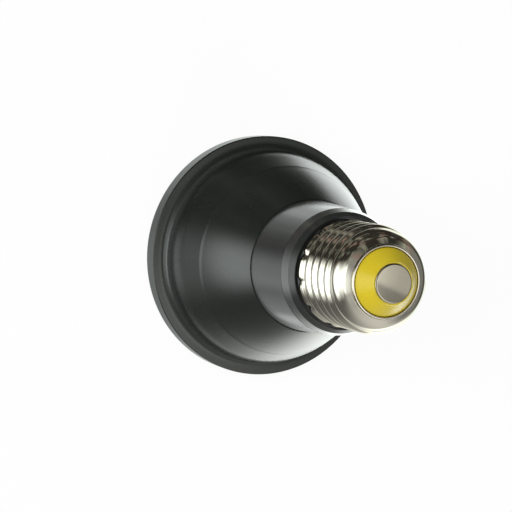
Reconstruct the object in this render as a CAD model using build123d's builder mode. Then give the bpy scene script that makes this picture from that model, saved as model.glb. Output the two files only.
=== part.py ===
# LED reflector lamp with a medium screw cap, in millimetres.
# The lamp axis is Z. The origin is the centre of the front face, and the cap points up.
import os
from math import cos, radians, sin, sqrt, tan

from build123d import *

os.makedirs("parts", exist_ok=True)

# Fits
slip_gap = 0.1
lead_gap = 0.3
cut_margin = 1.0

# Rim: outer wall, flat back flange and the ledge that carries the cover
rim_radius = 31.9
rim_height = 4.95
rim_wall = 1.5
rim_edge = 0.35
back_flange = 3.55
back_wall = 1.75
ledge_width = 3.2

# Bowl behind the rim: a steep stage with a knee, a crease, and a flatter stage down to the throat
shoulder_fillet = 1.3
knee_inset = 0.6
knee_rise = 4.8
knee_blend = 1.7
crease_share = 0.645
lower_stage = 14.4
lower_bow = 0.3
throat_height = 34.4
throat_lip = 0.35
housing_wall = 1.6
seat_wall = 1.4
flange_wall = 1.25

# Front cover and the ring that holds it
lens_thickness = 1.8
lens_ring_width = 2.8
lens_ring_inset = 0.15

# Stack on the heat spreader, counted from its seat in the housing towards the front
spreader_gap = 3.9
spreader_thickness = 2.5
pad_thickness = 0.2
pad_side = 18.0
led_board_side = 20.0
led_board_ear = 3.4
led_board_thickness = 1.5
led_chip_side = 12.0
led_chip_thickness = 0.8
phosphor_radius = 4.6
phosphor_thickness = 0.3
slot_length = 7.0
slot_width = 2.4

# Reflector cup: a paraboloid between its small aperture and its front flange
cup_aperture = 5.8
cup_lip = 1.0
cup_wall = 1.0
cup_flange = 0.9
cup_bands = 4

# Screws from the front through board and spreader into the driver case
screw_circle = 12.9
screw_angle = 30.0
screw_shank = 1.25
screw_head = 2.3
screw_head_height = 1.3
screw_length = 10.0
screw_slot = 0.6
post_radius = 2.6
post_length = 9.0
post_floor = 1.0

# Driver case: flange, tapered neck, collar, groove and the core that carries the cap
throat_depth = 3.9
neck_flange_thickness = 1.6
neck_length = 16.55
neck_taper = 0.99
neck_wall = 1.6
collar_length = 2.5
collar_taper = 0.76
collar_lip_length = 1.35
collar_lip_taper = 1.0
collar_overhang = 0.75
collar_lip_width = 0.25
collar_groove_depth = 0.9
core_wall = 1.3
core_length = 14.45
neck_end_wall = 1.9

# Screw cap: medium size, seven threads to the inch, with heights counted from the edge of its skirt
thread_pitch = 3.629
thread_crest = 13.15
thread_depth = 0.8
thread_ridge_width = 2.7
crest_share = 0.4
thread_rise = 2.24
cap_sheet = 0.3
skirt_step = 0.1
skirt_gap = 0.25
skirt_length = 1.05
runout_rise = 14.15
runout_length = 3.7
ridge_thinning = 0.6
nose_rise = 16.45
nose_radius = 4.5
nose_angle = 60.0
nose_bands = 3
nose_cone = 1.15
lip_rise = 0.69
lip_bead = 0.35
crimp_count = 12
crimp_phase = 8.5
crimp_rise = 1.85
crimp_width = 0.8
crimp_taper = 30.0
crimp_depth = 0.4

# Insulator and end contact
insulator_rise = 3.55
insulator_flange = 1.2
insulator_rim_height = 0.3
insulator_rim_width = 0.45
contact_radius = 4.75
contact_fit = 0.05
contact_rise = 0.35
contact_bevel = 0.3
contact_recess = 0.15
rivet_radius = 1.4
rivet_head = 2.2
rivet_head_height = 0.5

# Driver board, set on edge in the case, between two pairs of guides
driver_face = -1.7
driver_thickness = 1.6
driver_standoff = 3.0
driver_edge_gap = 1.0
driver_core_gap = 1.15
driver_top_gap = 2.5
guide_stop = 4.0
guide_wall = 1.2
guide_overlap = 0.6

# Transformer: ferrite core, bobbin and winding. Places on the board are counted from its lower edge.
transformer_rise = 14.0
ferrite_width = 13.0
ferrite_length = 12.6
ferrite_depth = 6.0
ferrite_leg = 3.0
ferrite_side = 1.6
ferrite_yoke = 1.8
bobbin_wall = 0.6
bobbin_flange = 0.7
bobbin_depth = 12.4
winding_inset = 0.35
winding_corner = 1.0

# Other components on the driver board
can_radius = 5.0
can_length = 13.0
can_rise = 22.5
can_lead_length = 1.6
film_size = (10.5, 5.5, 9.0)
film_place = (2.5, 7.5)
film_edge = 0.6
drum_radius = 4.0
drum_height = 7.5
drum_flange = 1.0
drum_waist = 0.4
drum_place = (-2.0, 17.0)
fuse_radius = 1.6
fuse_length = 8.0
fuse_lead_length = 1.5
fuse_place = (-4.5, 32.0)
bridge_size = (6.4, 2.4, 5.0)
bridge_place = (4.5, 32.0)
bridge_edge = 0.4
bridge_leg_size = (1.1, 2.2)
bridge_leg_pitch = (3.84, 6.4)
chip_size = (4.0, 1.5, 5.0)
chip_place = (-6.5, 3.8)
chip_leg_size = (1.8, 0.45)
chip_leg_pitch = (5.2, 1.27)
small_part_size = (3.2, 0.9, 1.6)
small_part_pitch = 2.5
small_part_column = 7.5

# Wires
lead_radius = 0.55
pin_radius = 0.3
led_lead_column = 2.2
led_lead_clearance = 1.8
led_lead_tail = 2.8
mains_lead_column = 3.0
mains_lead_clearance = 0.5
mains_lead_rise = 1.0


# Radii that follow from the sizes above, from the cap outwards to the rim
thread_root = thread_crest - thread_depth
root_bore = thread_root - cap_sheet
core_radius = root_bore - slip_gap
core_bore = core_radius - core_wall
skirt_radius = thread_crest + skirt_step
skirt_bore = skirt_radius - cap_sheet
collar_lip_radius = skirt_radius + collar_overhang
collar_lip_bore = collar_lip_radius - collar_lip_width
collar_bend_radius = collar_lip_radius + collar_lip_taper
collar_bore = collar_bend_radius - neck_wall
collar_radius = collar_bend_radius + collar_taper
neck_radius = collar_radius + neck_taper
neck_bore = neck_radius - neck_wall
throat_bore = neck_radius + slip_gap
throat_outer = throat_bore + throat_lip
shoulder_radius = rim_radius - back_flange
crease_radius = throat_outer + crease_share * (shoulder_radius - throat_outer)
rim_bore = rim_radius - rim_wall
ledge_radius = rim_bore - ledge_width
cup_mouth = ledge_radius - cup_lip

# Heights that follow, from the front to the end contact
ledge_depth = rim_height - back_wall
lens_front = ledge_depth - lens_thickness
shoulder_height = rim_height + shoulder_fillet
crease_height = throat_height - lower_stage
neck_flange_top = throat_height - throat_depth
neck_flange_bottom = neck_flange_top - neck_flange_thickness
spreader_seat = neck_flange_bottom - spreader_gap
spreader_front = spreader_seat - spreader_thickness
pad_front = spreader_front - pad_thickness
led_board_front = pad_front - led_board_thickness
led_chip_front = led_board_front - led_chip_thickness
phosphor_front = led_chip_front - phosphor_thickness
collar_height = throat_height + neck_length
collar_bend_height = collar_height + collar_length
collar_lip_height = collar_bend_height + collar_lip_length
groove_floor = collar_lip_height - collar_groove_depth
neck_floor = groove_floor - neck_end_wall
skirt_bottom = collar_lip_height + skirt_gap
skirt_top = skirt_bottom + skirt_length
crimp_height = skirt_bottom + crimp_rise
thread_start = skirt_bottom + thread_rise
runout_start = skirt_bottom + runout_rise
nose_start = skirt_bottom + nose_rise
core_top = skirt_bottom + core_length
driver_bottom = spreader_seat + driver_standoff
driver_top = core_top - driver_top_gap


def lower_stage_radius(height):
    """Outer radius of the bowl's flatter stage."""
    return crease_radius + (throat_outer - crease_radius) * (height - crease_height) / lower_stage


# Seats in the bowl, the cap's lip, the screws and the driver board's edges
seat_bore = lower_stage_radius(spreader_seat) - seat_wall
spreader_radius = seat_bore - slip_gap
flange_bore = lower_stage_radius(neck_flange_top) - flange_wall
neck_flange_radius = flange_bore - slip_gap
nose_edge = thread_root - nose_radius * (1 - cos(radians(nose_angle))) - nose_cone
lip_radius = nose_edge - lip_bead
lip_bore = lip_radius - lip_bead
insulator_radius = lip_bore - slip_gap
insulator_rim_bore = contact_radius + contact_fit
insulator_rim_radius = insulator_rim_bore + insulator_rim_width
screw_x = screw_circle * cos(radians(screw_angle))
screw_y = screw_circle * sin(radians(screw_angle))
screw_spots = [(screw_x, screw_y), (-screw_x, -screw_y)]
driver_back = driver_face - driver_thickness
driver_half_width = collar_bore - driver_edge_gap
driver_core_half_width = core_bore - driver_core_gap
guide_reach = driver_half_width - guide_overlap

# Housing. Inside it has a ledge for the cover, a seat for the spreader and a throat.
blend_step = shoulder_fillet * (1 - sqrt(0.5))
shoulder = Vector(shoulder_radius, shoulder_height)
knee = Vector(shoulder_radius - knee_inset, shoulder_height + knee_rise)
crease = Vector(crease_radius, crease_height)
throat_end = Vector(throat_outer, throat_height)
with BuildPart() as reflector_housing:
    with BuildSketch(Plane.XZ):
        with BuildLine():
            lower = SagittaArc(crease, throat_end, -lower_bow, mode=Mode.PRIVATE)
            Polyline(
                (rim_radius - rim_edge, 0),
                (rim_radius, rim_edge),
                (rim_radius, rim_height - rim_edge),
                (rim_radius - rim_edge, rim_height),
                (shoulder_radius + shoulder_fillet, rim_height),
                (shoulder_radius + blend_step, rim_height + blend_step),
                shoulder,
                knee + (shoulder - knee).normalized() * knee_blend,
                knee + (crease - knee).normalized() * knee_blend,
                crease,
                lower @ 0.5,
                throat_end,
            )
            Polyline(
                throat_end,
                (throat_bore, throat_height),
                (throat_bore, neck_flange_top),
                (flange_bore, neck_flange_top),
                (flange_bore, neck_flange_bottom),
                (seat_bore - housing_wall, spreader_seat),
                (seat_bore, spreader_seat),
                (seat_bore, spreader_front - housing_wall),
                (crease_radius - housing_wall, crease_height - housing_wall),
                (knee.X - housing_wall, knee.Y),
                (shoulder_radius - housing_wall, shoulder_height),
                (ledge_radius, ledge_depth),
                (rim_bore, ledge_depth),
                (rim_bore, 0),
                (rim_radius - rim_edge, 0),
            )
        make_face()
    revolve(axis=Axis.Z)
reflector_housing.part.label = "reflector_housing"
export_step(reflector_housing.part, "parts/reflector_housing.step")

# Clear front cover, a flat disc on the ledge of the rim
lens_radius = rim_bore - slip_gap
lens_ring_bore = rim_bore - lens_ring_width
with BuildPart() as front_lens:
    with BuildSketch(Plane.XY.offset(lens_front)):
        Circle(lens_radius)
    extrude(amount=lens_thickness)
front_lens.part.label = "front_lens"
export_step(front_lens.part, "parts/front_lens.step")

# Retaining ring in front of the cover, flush inside the rim
with BuildPart() as lens_ring:
    with BuildSketch(Plane.XZ):
        with BuildLine():
            Polyline(
                (lens_ring_bore, lens_front),
                (lens_radius, lens_front),
                (lens_radius, lens_ring_inset),
                (lens_ring_bore + lens_front - lens_ring_inset, lens_ring_inset),
                close=True,
            )
        make_face()
    revolve(axis=Axis.Z)
lens_ring.part.label = "lens_ring"
export_step(lens_ring.part, "parts/lens_ring.step")

# Reflector cup: conical bands along a paraboloid, from the light source to the cover
cup_start = led_chip_front - cup_wall
cup_focal = (cup_mouth**2 - cup_aperture**2) / (cup_start - ledge_depth)
cup_vertex = cup_start + cup_aperture**2 / cup_focal
cup_edge = ledge_radius - 2 * slip_gap
cup_step = (cup_mouth - cup_aperture) / cup_bands
cup_radii = [cup_aperture + cup_step * band for band in range(cup_bands + 1)]
cup_front = [Vector(radius, cup_vertex - radius**2 / cup_focal) for radius in cup_radii]
cup_back = [point + Vector(0, cup_wall) for point in cup_front]
with BuildPart() as reflector_cup:
    with BuildSketch(Plane.XZ):
        with BuildLine():
            Polyline(*cup_front)
            Polyline(
                (cup_mouth, ledge_depth),
                (cup_edge, ledge_depth),
                (cup_edge, ledge_depth + cup_flange),
                (cup_mouth, ledge_depth + cup_flange),
            )
            Polyline(*cup_back[:-1], (cup_mouth, ledge_depth + cup_flange))
            Line((cup_aperture, cup_start), (cup_aperture, cup_start + cup_wall))
        make_face()
    revolve(axis=Axis.Z)
reflector_cup.part.label = "reflector_cup"
export_step(reflector_cup.part, "parts/reflector_cup.step")

# Slot in the spreader for the two leads, beside the board
slot_centre = led_board_side / 2 + slot_width / 2 + lead_gap
with BuildPart() as heat_spreader:
    with BuildSketch(Plane.XY.offset(spreader_front)):
        Circle(spreader_radius)
        with Locations((0, slot_centre)):
            SlotOverall(slot_length, slot_width, mode=Mode.SUBTRACT)
        with Locations(*screw_spots):
            Circle(screw_shank + slip_gap, mode=Mode.SUBTRACT)
    extrude(amount=spreader_thickness)
heat_spreader.part.label = "heat_spreader"
export_step(heat_spreader.part, "parts/heat_spreader.step")

with BuildPart() as thermal_pad:
    with BuildSketch(Plane.XY.offset(pad_front)):
        Rectangle(pad_side, pad_side)
    extrude(amount=pad_thickness)
thermal_pad.part.label = "thermal_pad"
export_step(thermal_pad.part, "parts/thermal_pad.step")

# Board with two ears for the screws
with BuildPart() as led_board:
    with BuildSketch(Plane.XY.offset(led_board_front)):
        Rectangle(led_board_side, led_board_side)
        with Locations(*screw_spots):
            Circle(led_board_ear)
        with Locations(*screw_spots):
            Circle(screw_shank + slip_gap, mode=Mode.SUBTRACT)
    extrude(amount=led_board_thickness)
led_board.part.label = "led_board"
export_step(led_board.part, "parts/led_board.step")

with BuildPart() as led_chip:
    with BuildSketch(Plane.XY.offset(led_chip_front)):
        Rectangle(led_chip_side, led_chip_side)
    extrude(amount=led_chip_thickness)
led_chip.part.label = "led_chip"
export_step(led_chip.part, "parts/led_chip.step")

with BuildPart() as phosphor:
    with BuildSketch(Plane.XY.offset(phosphor_front)):
        Circle(phosphor_radius)
    extrude(amount=phosphor_thickness)
phosphor.part.label = "phosphor"
export_step(phosphor.part, "parts/phosphor.step")

# Two slotted screws: heads on the board, shanks in the posts of the driver case
with BuildPart() as board_screws:
    with BuildSketch(Plane.XY.offset(led_board_front)):
        with Locations(*screw_spots):
            Circle(screw_shank)
    extrude(amount=screw_length)
    with BuildSketch(Plane.XY.offset(led_board_front)):
        with Locations(*screw_spots):
            Circle(screw_head)
    extrude(amount=-screw_head_height)
    with BuildSketch(Plane.XY.offset(led_board_front - screw_head_height)):
        with Locations(*screw_spots):
            Rectangle(3 * screw_head, screw_slot)
    extrude(amount=screw_slot, mode=Mode.SUBTRACT)
board_screws.part.label = "board_screws"
export_step(board_screws.part, "parts/board_screws.step")


def crimp_punches(growth):
    """Ring of square punches that point at the axis, grown by a wall."""
    tip = skirt_radius - crimp_depth - growth
    with BuildPart() as punches:
        for crimp in range(crimp_count):
            angle = radians(crimp_phase + crimp * 360 / crimp_count)
            outwards = Vector(cos(angle), sin(angle), 0)
            with BuildSketch(Plane(origin=outwards * tip + Vector(0, 0, crimp_height), z_dir=outwards)):
                Rectangle(crimp_width + 2 * growth, crimp_width + 2 * growth)
            extrude(amount=4 * crimp_depth, taper=-crimp_taper)
    return punches.part


# Driver case: one moulding, with two screw posts on its inner wall
with BuildPart() as neck_shell:
    with BuildSketch(Plane.XZ):
        with BuildLine():
            Polyline(
                (neck_bore, neck_flange_bottom),
                (neck_flange_radius, neck_flange_bottom),
                (neck_flange_radius, neck_flange_top),
                (neck_radius, neck_flange_top),
                (neck_radius, throat_height),
                (collar_radius, collar_height),
                (collar_bend_radius, collar_bend_height),
                (collar_lip_radius, collar_lip_height),
                (collar_lip_bore, collar_lip_height),
                (collar_lip_bore, groove_floor),
                (skirt_radius - slip_gap, groove_floor),
                (skirt_radius - slip_gap, skirt_bottom),
                (skirt_bore - slip_gap, skirt_bottom),
                (skirt_bore - slip_gap, skirt_top - slip_gap),
                (core_radius, skirt_top - slip_gap + skirt_bore - root_bore),
                (core_radius, core_top),
                (core_bore, core_top),
                (core_bore, neck_floor),
                (collar_bore, neck_floor),
                (neck_bore, throat_height),
                close=True,
            )
        make_face()
    revolve(axis=Axis.Z)
    with BuildSketch(Plane.XY.offset(spreader_seat)):
        with Locations(*screw_spots):
            Circle(post_radius)
    extrude(amount=post_length)
    with BuildSketch(Plane.XY.offset(spreader_seat)):
        with Locations(*screw_spots):
            Circle(screw_shank + slip_gap)
    extrude(amount=post_length - post_floor, mode=Mode.SUBTRACT)
    # Guides for the driver board
    with BuildSketch(Plane.XY.offset(throat_height)):
        for guide_y in (driver_face + slip_gap, driver_back - slip_gap - guide_wall):
            for side in (Align.MIN, Align.MAX):
                edge = guide_reach if side is Align.MIN else -guide_reach
                with Locations((edge, guide_y)):
                    Rectangle(neck_bore - guide_reach, guide_wall, align=(side, Align.MIN))
    extrude(amount=neck_floor - guide_stop - throat_height)
    # The core takes the print of each crimp
    add(crimp_punches(cap_sheet + slip_gap), mode=Mode.SUBTRACT)
neck_shell.part.label = "neck_shell"
export_step(neck_shell.part, "parts/neck_shell.step")


# Screw cap: the rolled sheet follows the thread on both sides
def cap_outline(inset):
    """Bend centre, bend radius, end of the bend and end of the nose, inset by a wall."""
    bend = nose_radius - inset
    centre = (thread_root - nose_radius, nose_start)
    end = (centre[0] + bend * cos(radians(nose_angle)), centre[1] + bend * sin(radians(nose_angle)))
    nose_end = (nose_edge, end[1] + (end[0] - nose_edge) / tan(radians(nose_angle)))
    return centre, bend, end, nose_end


def thread_ridge(inset):
    """Ridge on its helix, cut back by a cone so that it fades out at the nose."""
    foot = thread_root - inset
    crest = thread_crest - inset
    depth = crest - foot
    dip = cap_sheet / 2
    half = thread_ridge_width / 2 - inset * ridge_thinning
    narrow = half * crest_share
    wide = narrow + (half - narrow) * (depth + dip) / depth
    turns = (nose_start - thread_start) / thread_pitch + 1
    with BuildPart() as ridge:
        with BuildLine():
            base = (0, 0, thread_start - thread_pitch)
            helix = Helix(thread_pitch, thread_pitch * turns, foot, center=base)
        with BuildSketch(Plane(origin=helix @ 0, x_dir=(1, 0, 0), z_dir=helix % 0)):
            with BuildLine():
                Polyline((-dip, wide), (-dip, -wide), (depth, -narrow), (depth, narrow), close=True)
            make_face()
        sweep(path=helix, is_frenet=True)
        with BuildSketch(Plane.XZ, mode=Mode.PRIVATE) as fade:
            with BuildLine():
                Polyline(
                    (0, skirt_bottom - cut_margin),
                    (crest + cut_margin, skirt_bottom - cut_margin),
                    (crest + cut_margin, runout_start - cut_margin),
                    (foot, runout_start + runout_length),
                    (0, runout_start + runout_length),
                    close=True,
                )
            make_face()
        revolve(fade.sketch, axis=Axis.Z, mode=Mode.INTERSECT)
    return ridge.part


def cap_solid(inset, bottom):
    """Solid under one face of the sheet: skirt, thread and rounded nose."""
    centre, bend, end, nose_end = cap_outline(inset)
    root = thread_root - inset
    skirt = skirt_radius - inset
    turns = [radians(nose_angle * band / nose_bands) for band in range(nose_bands + 1)]
    nose_arc = [(centre[0] + bend * cos(turn), centre[1] + bend * sin(turn)) for turn in turns]
    with BuildPart() as solid:
        with BuildSketch(Plane.XZ):
            with BuildLine():
                Polyline(
                    (0, bottom),
                    (skirt, bottom),
                    (skirt, skirt_top),
                    (root, skirt_top + skirt - root),
                    (root, nose_start),
                )
                Polyline(*nose_arc)
                Polyline(end, nose_end, (0, nose_end[1]), (0, bottom))
            make_face()
        revolve(axis=Axis.Z)
        add(thread_ridge(inset))
        with BuildSketch(Plane.XY.offset(bottom)):
            Circle(2 * skirt_radius)
        extrude(amount=-2 * thread_pitch, mode=Mode.SUBTRACT)
        add(crimp_punches(inset), mode=Mode.SUBTRACT)
    return solid.part


nose_top = cap_outline(0)[3]
nose_under = cap_outline(cap_sheet)[3]
lip_height = nose_top[1] + lip_rise
with BuildPart() as screw_shell:
    add(cap_solid(0, skirt_bottom))
    # Rolled lip round the insulator
    with BuildSketch(Plane.XZ):
        with BuildLine():
            Polyline(
                (lip_bore, nose_under[1]),
                (nose_top[0], nose_under[1]),
                nose_top,
                (lip_radius + lip_bead / 2, lip_height),
                (lip_radius - lip_bead / 2, lip_height),
                (lip_bore, lip_height - lip_bead / 2),
                close=True,
            )
        make_face()
    revolve(axis=Axis.Z)
    add(cap_solid(cap_sheet, skirt_bottom - cut_margin), mode=Mode.SUBTRACT)
    with BuildSketch(Plane.XY.offset(nose_start)):
        Circle(lip_bore)
    extrude(amount=2 * nose_radius, mode=Mode.SUBTRACT)
screw_shell.part.label = "screw_shell"
export_step(screw_shell.part, "parts/screw_shell.step")

# Insulator: its flange bears on the underside of the cap's nose
insulator_edge = lip_height - slip_gap
insulator_top = insulator_edge + insulator_rise
contact_seat = insulator_top - contact_recess
insulator_foot = nose_under[1] - insulator_flange
with BuildPart() as cap_insulator:
    with BuildSketch(Plane.XZ):
        with BuildLine():
            Polyline(
                (rivet_radius + slip_gap, insulator_foot),
                (nose_under[0], insulator_foot),
                nose_under,
                (insulator_radius, nose_under[1]),
                (insulator_radius, insulator_edge),
                (insulator_rim_radius, insulator_top - insulator_rim_height),
                (insulator_rim_radius, insulator_top),
                (insulator_rim_bore, insulator_top),
                (insulator_rim_bore, contact_seat),
                (rivet_radius + slip_gap, contact_seat),
                close=True,
            )
        make_face()
    revolve(axis=Axis.Z)
cap_insulator.part.label = "cap_insulator"
export_step(cap_insulator.part, "parts/cap_insulator.step")

# End contact with its rivet set under the insulator
contact_top = insulator_top + contact_rise
with BuildPart() as centre_contact:
    with BuildSketch(Plane.XZ):
        with BuildLine():
            Polyline(
                (0, insulator_foot - rivet_head_height),
                (rivet_head, insulator_foot - rivet_head_height),
                (rivet_head, insulator_foot),
                (rivet_radius, insulator_foot),
                (rivet_radius, contact_seat),
                (contact_radius, contact_seat),
                (contact_radius, contact_top - contact_bevel),
                (contact_radius - contact_bevel, contact_top),
                (0, contact_top),
                close=True,
            )
        make_face()
    revolve(axis=Axis.Z)
centre_contact.part.label = "centre_contact"
export_step(centre_contact.part, "parts/centre_contact.step")

# Driver board: its shoulders bear on the end wall of the neck
board_front = Plane(origin=(0, driver_face, driver_bottom), x_dir=(1, 0, 0), z_dir=(0, -1, 0))
board_back = board_front.offset(driver_thickness)
shoulder_rise = neck_floor - driver_bottom
driver_length = driver_top - driver_bottom
with BuildPart() as driver_board:
    with BuildSketch(board_front):
        with BuildLine():
            Polyline(
                (-driver_half_width, 0),
                (driver_half_width, 0),
                (driver_half_width, shoulder_rise),
                (driver_core_half_width, shoulder_rise),
                (driver_core_half_width, driver_length),
                (-driver_core_half_width, driver_length),
                (-driver_core_half_width, shoulder_rise),
                (-driver_half_width, shoulder_rise),
                close=True,
            )
        make_face()
    extrude(amount=driver_thickness)
driver_board.part.label = "driver_board"
export_step(driver_board.part, "parts/driver_board.step")

# Transformer, standing on the front of the board on its bobbin flanges
transformer_axis = driver_face + bobbin_depth / 2
transformer_height = driver_bottom + transformer_rise
window_half = ferrite_width / 2 - ferrite_side
window_length = ferrite_length - 2 * ferrite_yoke
spool_length = window_length - 2 * slip_gap
with BuildPart() as transformer_core:
    with BuildSketch(Plane.XZ.offset(-transformer_axis - ferrite_depth / 2)):
        with Locations((0, transformer_height)):
            Rectangle(ferrite_width, ferrite_length)
            Rectangle(2 * window_half, window_length, mode=Mode.SUBTRACT)
            Rectangle(ferrite_leg, ferrite_length)
    extrude(amount=ferrite_depth)
transformer_core.part.label = "transformer_core"
export_step(transformer_core.part, "parts/transformer_core.step")

spool_base = Plane(origin=(0, transformer_axis, transformer_height - spool_length / 2))
spool_bore = (ferrite_leg + 2 * slip_gap, ferrite_depth + 2 * slip_gap)
spool_width = spool_bore[0] + 2 * bobbin_wall
spool_depth = spool_bore[1] + 2 * bobbin_wall
flange_width = 2 * (window_half - slip_gap)
with BuildPart() as transformer_bobbin:
    with BuildSketch(spool_base):
        Rectangle(spool_width, spool_depth)
    extrude(amount=spool_length)
    with BuildSketch(spool_base, spool_base.offset(spool_length - bobbin_flange)):
        Rectangle(flange_width, bobbin_depth)
    extrude(amount=bobbin_flange)
    with BuildSketch(spool_base):
        Rectangle(*spool_bore)
    extrude(amount=spool_length, mode=Mode.SUBTRACT)
transformer_bobbin.part.label = "transformer_bobbin"
export_step(transformer_bobbin.part, "parts/transformer_bobbin.step")

with BuildPart() as transformer_winding:
    with BuildSketch(spool_base.offset(bobbin_flange)):
        RectangleRounded(flange_width - 2 * winding_inset, bobbin_depth - 4 * winding_inset, winding_corner)
        Rectangle(spool_width, spool_depth, mode=Mode.SUBTRACT)
    extrude(amount=spool_length - 2 * bobbin_flange)
transformer_winding.part.label = "transformer_winding"
export_step(transformer_winding.part, "parts/transformer_winding.step")

# Electrolytic can, lying on the board in the core, with its two leads
can_axis = driver_face + can_radius + slip_gap
can_bottom = driver_bottom + can_rise
with BuildPart() as bulk_capacitor:
    with BuildSketch(Plane(origin=(0, can_axis, can_bottom))):
        Circle(can_radius)
    extrude(amount=can_length)
    with BuildSketch(Plane(origin=(0, can_axis, can_bottom))):
        with GridLocations(can_radius, 1, 2, 1):
            Circle(pin_radius)
    extrude(amount=-can_lead_length)
bulk_capacitor.part.label = "bulk_capacitor"
export_step(bulk_capacitor.part, "parts/bulk_capacitor.step")

# Film capacitor and drum inductor on the back of the board
with BuildPart() as film_capacitor:
    with BuildSketch(board_back):
        with Locations(film_place):
            Rectangle(film_size[0], film_size[2])
    extrude(amount=film_size[1])
    chamfer(film_capacitor.faces().sort_by(Axis.Y)[0].edges(), film_edge)
film_capacitor.part.label = "film_capacitor"
export_step(film_capacitor.part, "parts/film_capacitor.step")

with BuildPart() as filter_inductor:
    with BuildSketch(board_back, board_back.offset(drum_height - drum_flange)):
        with Locations(drum_place):
            Circle(drum_radius)
    extrude(amount=drum_flange)
    with BuildSketch(board_back.offset(drum_flange)):
        with Locations(drum_place):
            Circle(drum_radius - drum_waist)
    extrude(amount=drum_height - 2 * drum_flange)
filter_inductor.part.label = "filter_inductor"
export_step(filter_inductor.part, "parts/filter_inductor.step")

# Fusible resistor: a wound body between two bent leads
fuse_axis = driver_back - fuse_radius - slip_gap
fuse_reach = fuse_length / 2 + fuse_lead_length
fuse_column = fuse_place[0]
fuse_height = driver_bottom + fuse_place[1]
with BuildPart() as fuse_resistor:
    with BuildSketch(Plane(origin=(fuse_column, fuse_axis, fuse_height - fuse_length / 2))):
        Circle(fuse_radius)
    extrude(amount=fuse_length)
    with BuildLine() as fuse_lead:
        Polyline(
            (fuse_column, driver_back, fuse_height - fuse_reach),
            (fuse_column, fuse_axis, fuse_height - fuse_reach),
            (fuse_column, fuse_axis, fuse_height + fuse_reach),
            (fuse_column, driver_back, fuse_height + fuse_reach),
        )
    with BuildSketch(Plane(origin=fuse_lead.line @ 0, z_dir=fuse_lead.line % 0)):
        Circle(pin_radius)
    sweep(path=fuse_lead.line, transition=Transition.RIGHT)
fuse_resistor.part.label = "fuse_resistor"
export_step(fuse_resistor.part, "parts/fuse_resistor.step")

# Bridge rectifier: a block with four flat legs on the back of the board
with BuildPart() as bridge_rectifier:
    with BuildSketch(board_back.offset(pin_radius)):
        with Locations(bridge_place):
            Rectangle(bridge_size[0], bridge_size[2])
    extrude(amount=bridge_size[1])
    chamfer(bridge_rectifier.faces().sort_by(Axis.Y)[0].edges(), bridge_edge)
    with BuildSketch(board_back):
        with Locations(bridge_place):
            with GridLocations(*bridge_leg_pitch, 2, 2):
                Rectangle(*bridge_leg_size)
    extrude(amount=2 * pin_radius)
bridge_rectifier.part.label = "bridge_rectifier"
export_step(bridge_rectifier.part, "parts/bridge_rectifier.step")

# Driver chip: eight legs in two rows on the front of the board
with BuildPart() as driver_chip:
    with BuildSketch(board_front):
        with Locations(chip_place):
            with GridLocations(*chip_leg_pitch, 2, 4):
                Rectangle(*chip_leg_size)
    extrude(amount=-2 * pin_radius)
    with BuildSketch(board_front.offset(-pin_radius)):
        with Locations(chip_place):
            Rectangle(chip_size[0], chip_size[2])
    extrude(amount=-chip_size[1])
driver_chip.part.label = "driver_chip"
export_step(driver_chip.part, "parts/driver_chip.step")

# Small chip resistors and capacitors on both faces
with BuildPart() as chip_parts:
    with BuildSketch(board_front):
        with Locations((small_part_column, chip_place[1])):
            with GridLocations(1, small_part_pitch, 1, 2):
                Rectangle(small_part_size[0], small_part_size[2])
    extrude(amount=-small_part_size[1])
    with BuildSketch(board_back):
        with Locations((small_part_column, drum_place[1])):
            with GridLocations(1, small_part_pitch, 1, 4):
                Rectangle(small_part_size[0], small_part_size[2])
    extrude(amount=small_part_size[1])
chip_parts.part.label = "chip_parts"
export_step(chip_parts.part, "parts/chip_parts.step")

# Leads, each a round wire along straight runs
lead_y = driver_face + lead_radius + slip_gap
led_lead_start = driver_bottom + chip_place[1]
led_lead_turn = spreader_seat + led_lead_clearance
led_lead_end = led_board_front - lead_radius - slip_gap
with BuildPart() as led_leads:
    for lead_x in (-led_lead_column, led_lead_column):
        with BuildLine() as led_route:
            Polyline(
                (lead_x, lead_y, led_lead_start),
                (lead_x, lead_y, led_lead_turn),
                (lead_x, slot_centre, led_lead_turn),
                (lead_x, slot_centre, led_lead_end),
                (lead_x, slot_centre - led_lead_tail, led_lead_end),
            )
        with BuildSketch(Plane(origin=led_route.line @ 0, z_dir=led_route.line % 0)):
            Circle(lead_radius)
        sweep(path=led_route.line, transition=Transition.RIGHT)
led_leads.part.label = "led_leads"
export_step(led_leads.part, "parts/led_leads.step")

lead_start = can_bottom + can_length + mains_lead_clearance
rivet_end = insulator_foot - rivet_head_height
with BuildPart() as line_wire:
    with BuildLine() as line_route:
        Polyline(
            (mains_lead_column, lead_y, lead_start),
            (mains_lead_column, lead_y, driver_top + mains_lead_rise),
            (0, 0, rivet_end - mains_lead_column),
            (0, 0, rivet_end - slip_gap),
        )
    with BuildSketch(Plane(origin=line_route.line @ 0, z_dir=line_route.line % 0)):
        Circle(lead_radius)
    sweep(path=line_route.line, transition=Transition.RIGHT)
line_wire.part.label = "line_wire"
export_step(line_wire.part, "parts/line_wire.step")

neutral_height = core_top + lead_radius + lead_gap
neutral_end = sqrt(root_bore**2 - (lead_y - lead_radius) ** 2) - slip_gap
with BuildPart() as neutral_wire:
    with BuildLine() as neutral_route:
        Polyline(
            (-mains_lead_column, lead_y, lead_start),
            (-mains_lead_column, lead_y, neutral_height),
            (-neutral_end, lead_y, neutral_height),
        )
    with BuildSketch(Plane(origin=neutral_route.line @ 0, z_dir=neutral_route.line % 0)):
        Circle(lead_radius)
    sweep(path=neutral_route.line, transition=Transition.RIGHT)
neutral_wire.part.label = "neutral_wire"
export_step(neutral_wire.part, "parts/neutral_wire.step")
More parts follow.
